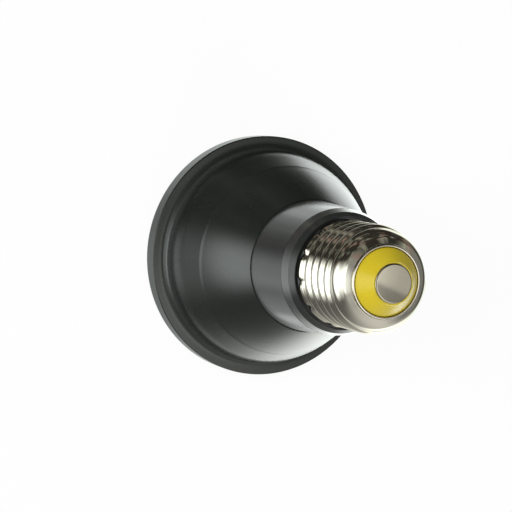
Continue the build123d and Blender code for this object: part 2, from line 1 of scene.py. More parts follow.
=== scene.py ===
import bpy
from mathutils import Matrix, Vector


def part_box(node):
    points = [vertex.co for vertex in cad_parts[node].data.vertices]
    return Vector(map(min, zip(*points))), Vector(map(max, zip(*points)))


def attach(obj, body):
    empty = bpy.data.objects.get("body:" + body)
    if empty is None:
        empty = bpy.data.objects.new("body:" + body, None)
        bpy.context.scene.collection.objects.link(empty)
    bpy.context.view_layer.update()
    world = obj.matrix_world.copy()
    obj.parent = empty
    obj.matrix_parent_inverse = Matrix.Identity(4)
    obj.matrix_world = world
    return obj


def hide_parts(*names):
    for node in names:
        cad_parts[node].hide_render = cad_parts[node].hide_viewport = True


bl_info = {
    "name": "Reflector Lamp",
    "version": (1, 0, 0),
    "blender": (4, 2, 0),
    "location": "3D View > Sidebar > Lamp",
    "description": "Dresses the CAD frame of a reflector lamp with finished surfaces and a plain studio",
    "category": "Object",
}

import bmesh
import bpy
import numpy as np
from bpy.props import FloatProperty, FloatVectorProperty, IntProperty, PointerProperty
from mathutils import Matrix, Vector

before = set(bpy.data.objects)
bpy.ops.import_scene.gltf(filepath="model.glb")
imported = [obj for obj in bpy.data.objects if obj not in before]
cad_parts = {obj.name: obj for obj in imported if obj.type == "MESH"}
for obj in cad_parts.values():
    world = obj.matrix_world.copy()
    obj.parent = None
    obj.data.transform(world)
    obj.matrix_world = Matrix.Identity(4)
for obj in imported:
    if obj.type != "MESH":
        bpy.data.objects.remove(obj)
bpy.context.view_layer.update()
MM = 0.001
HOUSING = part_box("reflector_housing")
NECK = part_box("neck_shell")
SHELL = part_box("screw_shell")
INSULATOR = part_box("cap_insulator")
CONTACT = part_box("centre_contact")
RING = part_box("lens_ring")
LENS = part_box("front_lens")
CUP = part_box("reflector_cup")
CRIMP_PHASE = np.radians(8.5)
SCREW_ANGLES = np.radians((30, 210))
CONE_SLOPE = np.radians(30)
THREAD_BREADTH = 0.8
POCKET_DEPTH = 0.15 * MM
CAP_COLUMNS = 288
FLAT_MARGIN = 1.4
MERGE_DISTANCE = 1e-7


def length(title, default, about):
    """Length property in metres."""
    return FloatProperty(
        name=title, description=about, default=default, unit="LENGTH", subtype="DISTANCE", precision=5
    )


def colour(title, default, about):
    """Linear colour property."""
    return FloatVectorProperty(name=title, description=about, default=default, size=3, min=0, max=1, subtype="COLOR")


class LampSizes(bpy.types.PropertyGroup):
    """Lengths of the lamp, measured from the front face along its axis"""

    rim_radius: length("Rim radius", HOUSING[1].x, "Radius of the front rim")
    rim_height: length("Rim height", 4.95 * MM, "Height of the rim wall")
    rim_wall: length("Rim wall", 1.5 * MM, "Thickness of the rim wall")
    ledge_radius: length("Ledge radius", 27.2 * MM, "Inner radius of the ledge that carries the cover")
    ledge_height: length("Ledge height", 3.2 * MM, "Height of the ledge that carries the cover")
    shoulder_radius: length("Shoulder radius", 28.35 * MM, "Radius of the bowl where it leaves the back flange")
    shoulder_height: length("Shoulder height", 6.25 * MM, "Height where the bowl's blend ends")
    knee_radius: length("Knee radius", 27.75 * MM, "Radius of the bowl at its knee")
    knee_height: length("Knee height", 11.05 * MM, "Height of the bowl's knee")
    knee_bend: length("Knee bend", 21 * MM, "Radius of the knee's bend")
    crease_radius: length("Crease radius", 24.39 * MM, "Radius of the crease round the bowl")
    crease_height: length("Crease height", 20 * MM, "Height of the crease round the bowl")
    crease_depth: length("Crease depth", 0.08 * MM, "Depth of the crease round the bowl")
    crease_reach: length("Crease reach", 0.9 * MM, "Reach of the crease along each of the bowl's stages")
    bowl_bow: length("Bow of the bowl", 0.3 * MM, "How far the flatter stage of the bowl swells outwards")
    throat_height: length("Throat height", HOUSING[1].z, "Height of the top of the bowl")
    housing_wall: length("Housing wall", 1.6 * MM, "Thickness of the bowl's wall")
    seat_radius: length("Seat radius", 20.5 * MM, "Radius of the heat spreader's seat")
    seat_height: length("Seat height", 25 * MM, "Height of the heat spreader's seat")
    spreader_front: length("Spreader front", 22.5 * MM, "Height of the heat spreader's front face")
    neck_radius: length("Neck radius", 16.75 * MM, "Radius of the neck where it leaves the bowl")
    neck_wall: length("Neck wall", 1.6 * MM, "Thickness of the neck's wall")
    flange_radius: length("Neck flange radius", NECK[1].x, "Radius of the neck's flange inside the bowl")
    flange_bottom: length("Neck flange bottom", 28.9 * MM, "Height of the underside of the neck's flange")
    flange_top: length("Neck flange top", 30.5 * MM, "Height of the top of the neck's flange")
    neck_floor: length("Neck floor", 52 * MM, "Height of the underside of the neck's end wall")
    collar_radius: length("Collar radius", 15.76 * MM, "Radius of the collar at its foot")
    collar_height: length("Collar height", 50.95 * MM, "Height of the collar's foot")
    collar_bend_radius: length("Collar bend radius", 15 * MM, "Radius of the edge between the collar's two bevels")
    collar_bend_height: length("Collar bend height", 53.45 * MM, "Height of the edge between the collar's two bevels")
    collar_lip_radius: length("Collar lip radius", 14 * MM, "Radius of the collar's upper lip")
    collar_lip_height: length("Collar lip height", 54.8 * MM, "Height of the collar's upper lip")
    core_radius: length("Core radius", 11.95 * MM, "Radius of the core inside the cap")
    core_wall: length("Core wall", 1.3 * MM, "Thickness of the core's wall")
    core_top: length("Core top", NECK[1].z, "Height of the top of the core")
    groove_depth: length("Groove depth", 0.9 * MM, "Depth of the groove that takes the cap's skirt")
    post_radius: length("Post radius", 2.6 * MM, "Radius of the two screw posts")
    post_bore: length("Post bore", 1.35 * MM, "Radius of the hole in each screw post")
    post_length: length("Post length", 9 * MM, "Length of the screw posts")
    post_circle: length("Post circle", 12.9 * MM, "Distance of the screw posts from the axis")
    guide_reach: length("Guide reach", 11.8 * MM, "Distance of the board guides' edges from the axis")
    guide_wall: length("Guide wall", 1.2 * MM, "Thickness of each board guide")
    guide_top: length("Guide top", 48 * MM, "Height of the top of the board guides")
    board_face: length("Board face", -1.6 * MM, "Place of the guide in front of the driver board")
    board_back: length("Board back", -3.4 * MM, "Place of the guide behind the driver board")
    thread_pitch: length("Thread pitch", 3.629 * MM, "Pitch of the cap's thread, seven turns to the inch")
    thread_crest: length("Thread crest", 13.15 * MM, "Radius of the thread over its crests")
    thread_root: length("Thread root", 12.35 * MM, "Radius of the thread in its grooves")
    thread_phase: length("Thread phase", 57.29 * MM, "Height of a crest on the X axis")
    thread_start: length("Thread start", 56.9 * MM, "Height where the first groove reaches its depth")
    thread_fade: length("Thread fade", 69.4 * MM, "Height where the thread begins to fade")
    thread_end: length("Thread end", 72.2 * MM, "Height where the thread has faded")
    cap_sheet: length("Cap sheet", 0.3 * MM, "Thickness of the cap's sheet")
    skirt_radius: length("Skirt radius", SHELL[1].x, "Radius of the cap's skirt")
    skirt_bottom: length("Skirt bottom", SHELL[0].z, "Height of the edge of the cap's skirt")
    nose_start: length("Nose start", 71.5 * MM, "Height where the cap's rounded nose begins")
    nose_bend: length("Nose bend", 4.5 * MM, "Radius of the bend of the cap's nose")
    lip_radius: length("Lip radius", 8.6 * MM, "Radius of the lip round the insulator")
    lip_height: length("Lip height", SHELL[1].z, "Height of the lip round the insulator")
    lip_bead: length("Lip bead", 0.3 * MM, "Half the width of the lip round the insulator")
    crimp_top: length("Crimp top", 57.9 * MM, "Height where the crimps in the cap's skirt run out")
    crimp_depth: length("Crimp depth", 0.55 * MM, "Depth of the crimps in the cap's skirt")
    crimp_width: length("Crimp width", 0.8 * MM, "Half the width of a crimp")
    crimp_count: IntProperty(name="Crimps", description="Number of crimps round the skirt", default=12, min=0)
    insulator_radius: length("Insulator radius", 8.15 * MM, "Radius of the insulator at the lip")
    insulator_edge: length("Insulator edge", 76.65 * MM, "Height of the insulator at the lip")
    insulator_top: length("Insulator top", INSULATOR[1].z, "Height of the insulator's rim")
    contact_radius: length("Contact radius", CONTACT[1].x, "Radius of the end contact")
    contact_top: length("Contact top", CONTACT[1].z, "Height of the end contact")
    contact_dome: length("Contact dome", 0.04 * MM, "How far the face of the end contact is domed")
    ring_bore: length("Ring bore", 27.6 * MM, "Inner radius of the cover's retaining ring")
    cup_aperture: length("Reflector aperture", 5.8 * MM, "Radius of the reflector cup at the light source")
    cup_mouth: length("Reflector mouth", 26.2 * MM, "Radius of the reflector cup at the cover")
    cup_wall: length("Reflector wall", 1 * MM, "Thickness of the reflector cup")
    cup_flange: length("Reflector flange", 0.9 * MM, "Thickness of the reflector cup's flange")


class LampFinishes(bpy.types.PropertyGroup):
    """Colours of the lamp's finishes"""

    body_coat: colour("Body coat", (0.0088, 0.0116, 0.0094), "Satin black paint of the bowl")
    case_moulding: colour("Case moulding", (0.020, 0.022, 0.021), "Glossy dark plastic of the neck")
    cap_plating: colour("Cap plating", (0.70, 0.66, 0.575), "Nickel plating of the screw cap")
    insulator_glaze: colour("Insulator glaze", (0.64, 0.50, 0.020), "Yellow glaze of the insulator")
    contact_plating: colour("Contact plating", (0.49, 0.457, 0.37), "Nickel plating of the end contact")


class StudioSettings(bpy.types.PropertyGroup):
    """Place of the camera and strength of the studio"""

    camera_place: FloatVectorProperty(
        name="Camera place",
        description="Where the camera stands",
        default=(-0.22315, 0.04415, 0.51684),
        subtype="TRANSLATION",
        unit="LENGTH",
    )
    camera_view: FloatVectorProperty(
        name="Camera view", description="Direction that the camera looks in", default=(0.39418, -0.07902, -0.91563)
    )
    camera_up: FloatVectorProperty(
        name="Camera up", description="Direction of the upper edge of the picture", default=(0, 0.9963, -0.08598)
    )
    focal_length: FloatProperty(
        name="Focal length", description="Focal length of the lens, in millimetres", default=147.81, min=1
    )
    backdrop_level: FloatProperty(
        name="Backdrop level", description="Strength of the white backdrop in reflections", default=1.0, min=0
    )
    strip_level: FloatProperty(
        name="Soft box level", description="Strength of the soft box in reflections", default=1.0, min=0
    )


class Signal:
    """One output socket of a node tree. Arithmetic on it adds Math nodes."""

    def __init__(self, tree, socket):
        self.tree, self.socket = tree, socket

    def maths(self, operation, first, second=0.0):
        """Math node on one or two values or links."""
        return self.tree.node("ShaderNodeMath", {"operation": operation}, {0: first, 1: second})

    def __add__(self, other):
        return self.maths("ADD", self, other)

    def __sub__(self, other):
        return self.maths("SUBTRACT", self, other)

    def __rsub__(self, other):
        return self.maths("SUBTRACT", other, self)

    def __mul__(self, other):
        return self.maths("MULTIPLY", self, other)

    def __pow__(self, other):
        return self.maths("POWER", self, other)

    def __rpow__(self, other):
        return self.maths("POWER", other, self)

    def __neg__(self):
        return self.maths("MULTIPLY", self, -1.0)

    def __abs__(self):
        return self.maths("ABSOLUTE", self)

    __radd__ = __add__
    __rmul__ = __mul__

    def above(self, least):
        """The value, or least where the value is smaller."""
        return self.maths("MAXIMUM", self, least)

    def fold(self, width):
        """Triangle wave between 0 and width."""
        return self.maths("PINGPONG", self, width)

    def rise(self, low, high):
        """Smooth step from 0 at low to 1 at high."""
        limits = {"Value": self, "From Min": low, "From Max": high}
        return self.tree.node("ShaderNodeMapRange", {"interpolation_type": "SMOOTHSTEP"}, limits)


class Finish:
    """Node tree of a material or of the world, emptied for new nodes."""

    def __init__(self, owner):
        owner.use_nodes = True
        self.owner, self.tree = owner, owner.node_tree
        self.tree.nodes.clear()

    def node(self, kind, settings=None, inputs=None, output=0):
        """New node with its settings, then the values or links of its sockets."""
        made = self.tree.nodes.new(kind)
        for name, value in (settings or {}).items():
            setattr(made, name, value)
        for name, value in (inputs or {}).items():
            if isinstance(value, Signal):
                self.tree.links.new(value.socket, made.inputs[name])
            else:
                made.inputs[name].default_value = value
        return Signal(self, made.outputs[output]) if len(made.outputs) else made

    def outputs(self, kind, names, inputs=None):
        """The named outputs of one new node."""
        made = self.node(kind, inputs=inputs).socket.node
        return [Signal(self, made.outputs[name]) for name in names]

    def mix(self, factor, first, second):
        """Colour between first and second. The node's colour sockets are 6, 7 and, for the result, 2."""
        return self.node("ShaderNodeMix", {"data_type": "RGBA"}, {0: factor, 6: first, 7: second}, 2)

    def uneven(self, factor, base, share):
        """Colour between base and a share of it."""
        return self.mix(factor, opaque(base), opaque([share * part for part in base]))

    def place(self):
        """Object coordinates."""
        return self.node("ShaderNodeTexCoord", output="Object")

    def axes(self):
        """X, Y and Z of Object coordinates, in metres."""
        return self.outputs("ShaderNodeSeparateXYZ", ("X", "Y", "Z"), {0: self.place()})

    def noise(self, scale, detail, stretch=(1, 1, 1)):
        """Noise on Object coordinates, scale in spots to a metre, stretched by its axes."""
        place = self.node("ShaderNodeMapping", inputs={"Vector": self.place(), "Scale": stretch})
        return self.node("ShaderNodeTexNoise", inputs={"Vector": place, "Scale": scale, "Detail": detail})

    def cells(self, scale):
        """Distance to the nearest of many scattered points, as a share of their spacing, scale to a metre."""
        return self.node("ShaderNodeTexVoronoi", inputs={"Vector": self.place(), "Scale": scale}, output="Distance")

    def bump(self, height, depth, strength):
        """Normal from a height, where depth is the height of 1 in metres."""
        return self.node("ShaderNodeBump", inputs={"Height": height, "Distance": depth, "Strength": strength})

    def surface(self, **sockets):
        """Principled surface joined to the output. Names of sockets are written with underscores."""
        inputs = {name.replace("_", " "): value for name, value in sockets.items()}
        shader = self.node("ShaderNodeBsdfPrincipled", inputs=inputs)
        self.node("ShaderNodeOutputMaterial", inputs={"Surface": shader})
        return self.owner


def grey(level):
    """Opaque grey."""
    return (level, level, level, 1)


def opaque(base):
    """Colour with an alpha of 1."""
    return (*base, 1)


def new_finish(name):
    """Node tree of a new material."""
    return Finish(bpy.data.materials.new(name))


def rounded(corners, radii, steps=6):
    """Polyline whose inner corners are arcs. The centre of an arc lies on the bisector at radius over the sine
    of the half angle, and its points turn evenly from one edge's foot to the other's. Each arc has one more
    point on the edge at either side, FLAT_MARGIN times its reach from the corner, so that the flats stay flat
    when they are shaded."""
    corners = np.asarray(corners, float)
    radii = np.broadcast_to(np.asarray(radii, float), len(corners) - 2)[:, None]
    inner = corners[1:-1]
    back = corners[:-2] - inner
    ahead = corners[2:] - inner
    back /= np.linalg.norm(back, axis=1, keepdims=True)
    ahead /= np.linalg.norm(ahead, axis=1, keepdims=True)
    half = np.arccos(np.clip((back * ahead).sum(1, keepdims=True), -1, 1)) / 2
    bisector = (back + ahead) / np.linalg.norm(back + ahead, axis=1, keepdims=True)
    reach = radii / np.tan(half)
    centre = inner + bisector * radii / np.sin(half)
    turn = np.pi - 2 * half
    share = np.linspace(0, 1, steps)[None, :]
    leave = (np.sin((1 - share) * turn) / np.sin(turn))[:, :, None]
    meet = (np.sin(share * turn) / np.sin(turn))[:, :, None]
    arcs = centre[:, None] + leave * (inner + back * reach - centre)[:, None]
    arcs = arcs + meet * (inner + ahead * reach - centre)[:, None]
    before = (inner + back * reach * FLAT_MARGIN)[:, None]
    after = (inner + ahead * reach * FLAT_MARGIN)[:, None]
    rows = np.concatenate([before, arcs, after], axis=1).reshape(-1, 2)
    return np.vstack([corners[:1], rows, corners[-1:]])


def bowed(start, end, bow, count):
    """Shallow arc from start to end: the chord plus bow times a parabola, to the right of the way it runs.
    Its points lie closer together near both ends."""
    start, end = np.asarray(start, float), np.asarray(end, float)
    share = (1 - np.cos(np.linspace(0, np.pi, count)))[:, None] / 2
    along = (end - start) / np.linalg.norm(end - start)
    side = np.array([along[1], -along[0]])
    return start + (end - start) * share + side * (4 * bow * share * (1 - share))


def skin(grid, joined):
    """Mesh over a grid of points whose columns run round the axis. Each face joins a point to its neighbours in
    the next column and row. Rows that shrink to a point on the axis become one vertex."""
    rows, around = grid.shape[:2]
    index = np.arange(rows * around).reshape(rows, around)
    lower = index if joined else index[:-1]
    upper = np.roll(index, -1, axis=0) if joined else index[1:]
    faces = np.stack([lower, np.roll(lower, -1, 1), np.roll(upper, -1, 1), upper], axis=-1).reshape(-1, 4)
    mesh = bpy.data.meshes.new("skin")
    mesh.vertices.add(rows * around)
    mesh.vertices.foreach_set("co", grid.astype(np.float32).ravel())
    mesh.loops.add(faces.size)
    mesh.loops.foreach_set("vertex_index", faces.astype(np.int32).ravel())
    mesh.polygons.add(len(faces))
    mesh.polygons.foreach_set("loop_start", np.arange(0, faces.size, 4, dtype=np.int32))
    mesh.update(calc_edges=True)
    merged = bmesh.new()
    merged.from_mesh(mesh)
    bmesh.ops.remove_doubles(merged, verts=merged.verts, dist=MERGE_DISTANCE)
    merged.to_mesh(mesh)
    merged.free()
    mesh.polygons.foreach_set("use_smooth", np.ones(len(mesh.polygons), bool))
    mesh.update()
    return mesh


def ring_angles(around):
    """Angles of the columns round the axis."""
    return np.arange(around) * (2 * np.pi / around)


def ring_grid(radius, height, angle):
    """Points (r cos t, r sin t, z) for each row of radii and heights and each angle t."""
    return np.stack([radius * np.cos(angle), radius * np.sin(angle), height + 0 * angle], axis=-1)


def turned(profile, joined=True, around=256, dent=None):
    """Surface of revolution of a profile of (r, z), whose radius is less a dent in height and angle, if given.
    The profile runs anticlockwise seen with r to the right and z up, and joins its own start unless its ends
    lie on the axis."""
    profile = np.asarray(profile, float)
    angle = ring_angles(around)
    radius, height = profile[:, :1], profile[:, 1:]
    if dent is not None:
        radius = radius - dent(radius, height, angle)
    return skin(ring_grid(radius, height, angle), joined)


def block(low, high):
    """Box between two corners, whose corner k takes the high value where a bit of k is set."""
    bits = (np.arange(8)[:, None] >> np.arange(3)) & 1
    corners = np.where(bits, high, low)
    faces = [(0, 2, 3, 1), (4, 5, 7, 6), (0, 1, 5, 4), (2, 6, 7, 3), (0, 4, 6, 2), (1, 3, 7, 5)]
    mesh = bpy.data.meshes.new("block")
    mesh.from_pydata(corners.tolist(), [], faces)
    return mesh


def smooth_step(value, low, high):
    """Smooth step from 0 at low to 1 at high."""
    share = np.clip((value - low) / (high - low), 0, 1)
    return share * share * (3 - 2 * share)


def crimp_dent(s, height, angle):
    """Depth of the crimps at a height and angle: bells across each crimp, deepest at the edge of the skirt, from
    where they run out smoothly."""
    crimp = CRIMP_PHASE + ring_angles(s.crimp_count)
    across = (angle[None, :] - crimp[:, None] + np.pi) % (2 * np.pi) - np.pi
    bell = np.exp(-((across * s.skirt_radius / s.crimp_width) ** 2)).sum(0)
    return s.crimp_depth * bell * (1 - smooth_step(height, s.skirt_bottom + 0.5 * MM, s.crimp_top))


def closed(corners, radii, steps=6):
    """Closed profile with every corner rounded."""
    corners = np.asarray(corners, float)
    radii = np.broadcast_to(np.asarray(radii, float), len(corners))
    return rounded(np.vstack([corners[-1:], corners, corners[:1]]), radii, steps)[1:-1]


def finished(name, meshes, material, slot, *nodes):
    """Object from one or more meshes, joined, with its material, that stands for CAD nodes."""
    whole = bmesh.new()
    for mesh in meshes:
        whole.from_mesh(mesh)
        bpy.data.meshes.remove(mesh)
    joined = bpy.data.meshes.new(name)
    whole.to_mesh(joined)
    whole.free()
    joined.materials.append(material)
    piece = bpy.data.objects.new(name, joined)
    bpy.context.scene.collection.objects.link(piece)
    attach(piece, "root")
    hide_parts(*nodes)


def paint_finish():
    """Satin black paint: faint orange peel, a little cloudiness in its sheen, dust specks, and painted light, a paler
    band round the foot of the bowl that lifts the shade in the corner by the flange."""
    finish = new_finish("body_coat")
    foot = bpy.context.scene.lamp_sizes.rim_height
    # shares of pale grey: real dust specks, and painted light in a band round the foot of the bowl
    specks_dust, foot_light_share = 0.3, 0.22
    z = finish.axes()[2]
    # painted light: a paler band just above the flange, which lifts the shade in the corner there
    painted_foot_light = z.rise(foot + 0.2 * MM, foot + 0.9 * MM) * (1 - z.rise(foot + 1.5 * MM, foot + 4.5 * MM))
    cloud = finish.noise(60, 4)
    peel = finish.noise(1400, 2)
    speck = 1 - finish.cells(130).rise(0.02, 0.035)
    base = bpy.context.scene.lamp_finishes.body_coat
    tint = finish.uneven(cloud, base, 1.3)
    return finish.surface(
        # pales the coat towards grey at the dust specks and, as painted light, round the foot of the bowl
        Base_Color=finish.mix((speck * specks_dust).above(painted_foot_light * foot_light_share), tint, grey(0.12)),
        Roughness=0.24 + cloud * 0.07 + speck * 0.1,
        IOR=1.55,
        Normal=finish.bump(peel, 0.006 * MM, 0.15),
    )


def case_finish():
    """Glossy dark moulding of the neck and collar, with faint flow marks round it. The collar's wide bevel is
    satin."""
    finish = new_finish("case_moulding")
    sizes = bpy.context.scene.lamp_sizes
    z = finish.axes()[2]
    satin = z.rise(sizes.collar_height - 0.1 * MM, sizes.collar_height)
    satin = satin * (1 - z.rise(sizes.collar_bend_height - 0.1 * MM, sizes.collar_bend_height))
    flow = finish.noise(90, 3, stretch=(1, 1, 4))
    peel = finish.noise(700, 2)
    base = bpy.context.scene.lamp_finishes.case_moulding
    return finish.surface(
        Base_Color=finish.uneven(flow, base, 1.25),
        Roughness=0.1 + flow * 0.07 + satin * 0.2,
        IOR=1.56,
        Coat_Weight=satin,
        Coat_Roughness=0.23,
        Coat_IOR=2.35,
        Normal=finish.bump(peel, 0.003 * MM, 0.5),
    )


def plating_finish():
    """Bright nickel over rolled sheet: drawing marks round the axis, pits and cloudy patches."""
    finish = new_finish("cap_plating")
    base = bpy.context.scene.lamp_finishes.cap_plating
    cloud = finish.noise(140, 4)
    drawn = finish.noise(120, 3, stretch=(1, 1, 30))
    pits = finish.noise(2600, 2).rise(0.66, 0.8)
    return finish.surface(
        Base_Color=finish.uneven(cloud, base, 0.9),
        Metallic=1.0,
        Specular_Tint=(0.4, 0.41, 0.38, 1),
        Roughness=0.05 + cloud * 0.06 + pits * 0.12,
        Normal=finish.bump(drawn * 0.5 + cloud * 0.4 - pits * 0.3, 0.012 * MM, 0.35),
    )


def glaze_finish():
    """Glossy yellow insulator with fine turning marks that run round it."""
    finish = new_finish("insulator_glaze")
    x, y = finish.axes()[:2]
    radius = (x * x + y * y) ** 0.5
    marks = finish.node(
        "ShaderNodeTexNoise", {"noise_dimensions": "1D"}, {"W": radius, "Scale": 5000.0, "Detail": 3.0}
    )
    cloud = finish.noise(180, 3)
    base = bpy.context.scene.lamp_finishes.insulator_glaze
    return finish.surface(
        Base_Color=finish.uneven(cloud, base, 0.88),
        Roughness=0.16 + marks * 0.12,
        IOR=1.5,
        Normal=finish.bump(marks, 0.006 * MM, 0.5),
    )


def contact_finish():
    """Polished nickel of the end contact: fine cloudy scuffs."""
    finish = new_finish("contact_plating")
    cloud = finish.noise(500, 4)
    scuff = finish.noise(1600, 3, stretch=(1, 3, 1))
    base = bpy.context.scene.lamp_finishes.contact_plating
    return finish.surface(
        Base_Color=finish.uneven(cloud, base, 0.9),
        Metallic=1.0,
        Roughness=0.03 + scuff * 0.05,
        Normal=finish.bump(scuff, 0.0003 * MM, 0.5),
    )


def lens_finish():
    """Clear cover, polished, with a faint haze."""
    finish = new_finish("clear_cover")
    haze = finish.noise(120, 2)
    return finish.surface(
        Base_Color=(0.95, 0.96, 0.96, 1), Roughness=0.02 + haze * 0.03, IOR=1.49, Transmission_Weight=1.0
    )


def mirror_finish():
    """Vacuum coated reflector with a light peen."""
    finish = new_finish("mirror_coat")
    dimples = finish.node(
        "ShaderNodeTexVoronoi", {"feature": "SMOOTH_F1"}, {"Vector": finish.place(), "Scale": 420.0}, "Distance"
    )
    cloud = finish.noise(80, 2)
    return finish.surface(
        Base_Color=(0.86, 0.86, 0.87, 1),
        Metallic=1.0,
        Roughness=0.06 + cloud * 0.06,
        Normal=finish.bump(dimples, 0.15 * MM, 0.4),
    )


def moulded_finish(name, base, level, gloss=1.5, fleck=0.2):
    """Plain moulding with a fine grain, its colour a little uneven."""
    finish = new_finish(name)
    cloud = finish.noise(220, 3)
    grain = finish.noise(3000, 2)
    return finish.surface(
        Base_Color=finish.uneven(cloud, base, 1 - fleck),
        Roughness=level + cloud * 0.1,
        IOR=gloss,
        Normal=finish.bump(grain, 0.01 * MM, 0.4),
    )


def metal_finish(name, base, level, stretch=(1, 1, 1)):
    """Bare or plated metal with brushed marks."""
    finish = new_finish(name)
    brush = finish.noise(900, 3, stretch=stretch)
    cloud = finish.noise(150, 3)
    return finish.surface(
        Base_Color=finish.uneven(cloud, base, 0.85),
        Metallic=1.0,
        Roughness=level + brush * 0.15,
        Normal=finish.bump(brush, 0.008 * MM, 0.5),
    )


def board_finish():
    """Circuit board: green mask, paler over stretched patches of copper, with a fine weave."""
    finish = new_finish("circuit_board")
    runs = finish.noise(260, 0, stretch=(0.4, 1, 1.6)).rise(0.5, 0.52)
    weave = finish.noise(2200, 2)
    return finish.surface(
        Base_Color=finish.mix(runs, (0.012, 0.085, 0.03, 1), (0.03, 0.17, 0.06, 1)),
        Roughness=0.3 + weave * 0.12,
        Normal=finish.bump(runs + weave * 0.2, 0.03 * MM, 0.6),
    )


def wound_finish(name, base, dark):
    """Winding under tape, in turns across Z."""
    finish = new_finish(name)
    z = finish.axes()[2]
    turns = (z * 2500.0).fold(1.0)
    return finish.surface(
        Base_Color=finish.mix(turns, opaque(base), opaque(dark)),
        Roughness=0.25 + turns * 0.15,
        Normal=finish.bump(turns, 0.08 * MM, 0.5),
    )


INNER_FINISHES = {
    "heat_spreader": ("spreader_metal", metal_finish, "spreader_metal", (0.72, 0.73, 0.74), 0.3, (1, 12, 1)),
    "thermal_pad": ("pad_rubber", moulded_finish, "pad_rubber", (0.17, 0.19, 0.22), 0.7),
    "led_board": ("board_mask", moulded_finish, "board_mask", (0.78, 0.79, 0.76), 0.32, 1.5, 0.05),
    "led_chip": ("chip_ceramic", moulded_finish, "chip_ceramic", (0.8, 0.8, 0.77), 0.5, 1.5, 0.06),
    "phosphor": ("phosphor_gel", moulded_finish, "phosphor_gel", (0.85, 0.58, 0.05), 0.3, 1.45, 0.1),
    "board_screws": ("screw_steel", metal_finish, "screw_steel", (0.62, 0.62, 0.61), 0.28),
    "driver_board": ("circuit_board", board_finish),
    "transformer_core": ("ferrite", moulded_finish, "ferrite", (0.028, 0.028, 0.031), 0.55),
    "transformer_bobbin": ("bobbin_moulding", moulded_finish, "bobbin_moulding", (0.03, 0.03, 0.03), 0.4),
    "transformer_winding": ("winding_tape", wound_finish, "winding_tape", (0.7, 0.47, 0.03), (0.5, 0.3, 0.02)),
    "bulk_capacitor": ("can_sleeve", moulded_finish, "can_sleeve", (0.02, 0.022, 0.05), 0.22),
    "film_capacitor": ("film_case", moulded_finish, "film_case", (0.5, 0.2, 0.015), 0.3),
    "filter_inductor": ("component_body", moulded_finish, "inductor_sleeve", (0.02, 0.02, 0.02), 0.35),
    "fuse_resistor": ("chip_body", moulded_finish, "fuse_body", (0.14, 0.3, 0.2), 0.4),
    "bridge_rectifier": ("component_body", moulded_finish, "bridge_body", (0.025, 0.025, 0.025), 0.5),
    "driver_chip": ("component_body", moulded_finish, "chip_case", (0.02, 0.02, 0.022), 0.45),
    "chip_parts": ("chip_body", moulded_finish, "small_part_body", (0.22, 0.15, 0.09), 0.45),
    "led_leads": ("wire_cover", moulded_finish, "wire_cover_red", (0.5, 0.02, 0.015), 0.35),
    "line_wire": ("wire_cover", moulded_finish, "wire_cover_black", (0.03, 0.03, 0.03), 0.35),
    "neutral_wire": ("wire_cover_pale", moulded_finish, "wire_cover_pale", (0.75, 0.75, 0.72), 0.35),
}


class LAMP_OT_housing(bpy.types.Operator):
    """Bowl: rim, back flange, steep stage with a knee, crease, flatter stage, and the seats inside"""

    bl_idname = "lamp.housing"
    bl_label = "Housing"

    def execute(self, context):
        s = context.scene.lamp_sizes
        throat = s.neck_radius + 0.03 * MM
        chamfer, slip = 0.1 * MM, 0.1 * MM
        crease = np.array([s.crease_radius, s.crease_height])
        knee = np.array([s.knee_radius, s.knee_height])
        edge = np.array([throat + 2 * chamfer, s.throat_height - chamfer])
        lower_end = crease + s.crease_reach * (knee - crease) / np.linalg.norm(knee - crease)
        upper_end = crease + s.crease_reach * (edge - crease) / np.linalg.norm(edge - crease)
        outer = rounded(
            [
                (s.ledge_radius, s.ledge_height),
                (s.rim_radius - s.rim_wall, s.ledge_height),
                (s.rim_radius - s.rim_wall, 0),
                (s.rim_radius, 0),
                (s.rim_radius, s.rim_height - 0.12 * MM),
                (s.shoulder_radius + 0.1 * MM, s.rim_height),
                knee,
                lower_end,
                crease - (s.crease_depth, 0),
                upper_end,
            ],
            [0.15 * MM, 0.25 * MM, 0.3 * MM, 0.3 * MM, 1.8 * MM, s.knee_bend, 2.5 * MM, 1.5 * MM],
            8,
        )[1:]
        flatter_stage = bowed(upper_end, edge, s.bowl_bow, 16)[1:]
        inner = rounded(
            [
                edge,
                (throat + chamfer, s.throat_height),
                (throat, s.throat_height - chamfer),
                (throat, s.flange_top),
                (s.flange_radius + slip, s.flange_top),
                (s.flange_radius + slip, s.flange_bottom),
                (s.seat_radius - s.housing_wall, s.seat_height),
                (s.seat_radius, s.seat_height),
                (s.seat_radius, s.spreader_front - s.housing_wall),
                (s.crease_radius - s.housing_wall, s.crease_height - s.housing_wall),
                (s.knee_radius - s.housing_wall, s.knee_height),
                (s.shoulder_radius - s.housing_wall, s.shoulder_height),
                (s.ledge_radius, s.ledge_height),
            ],
            0.05 * MM,
            3,
        )[1:]
        profile = np.vstack([outer, flatter_stage, inner])
        finished("housing_body", [turned(profile)], paint_finish(), "body_coat", "reflector_housing")
        return {"FINISHED"}


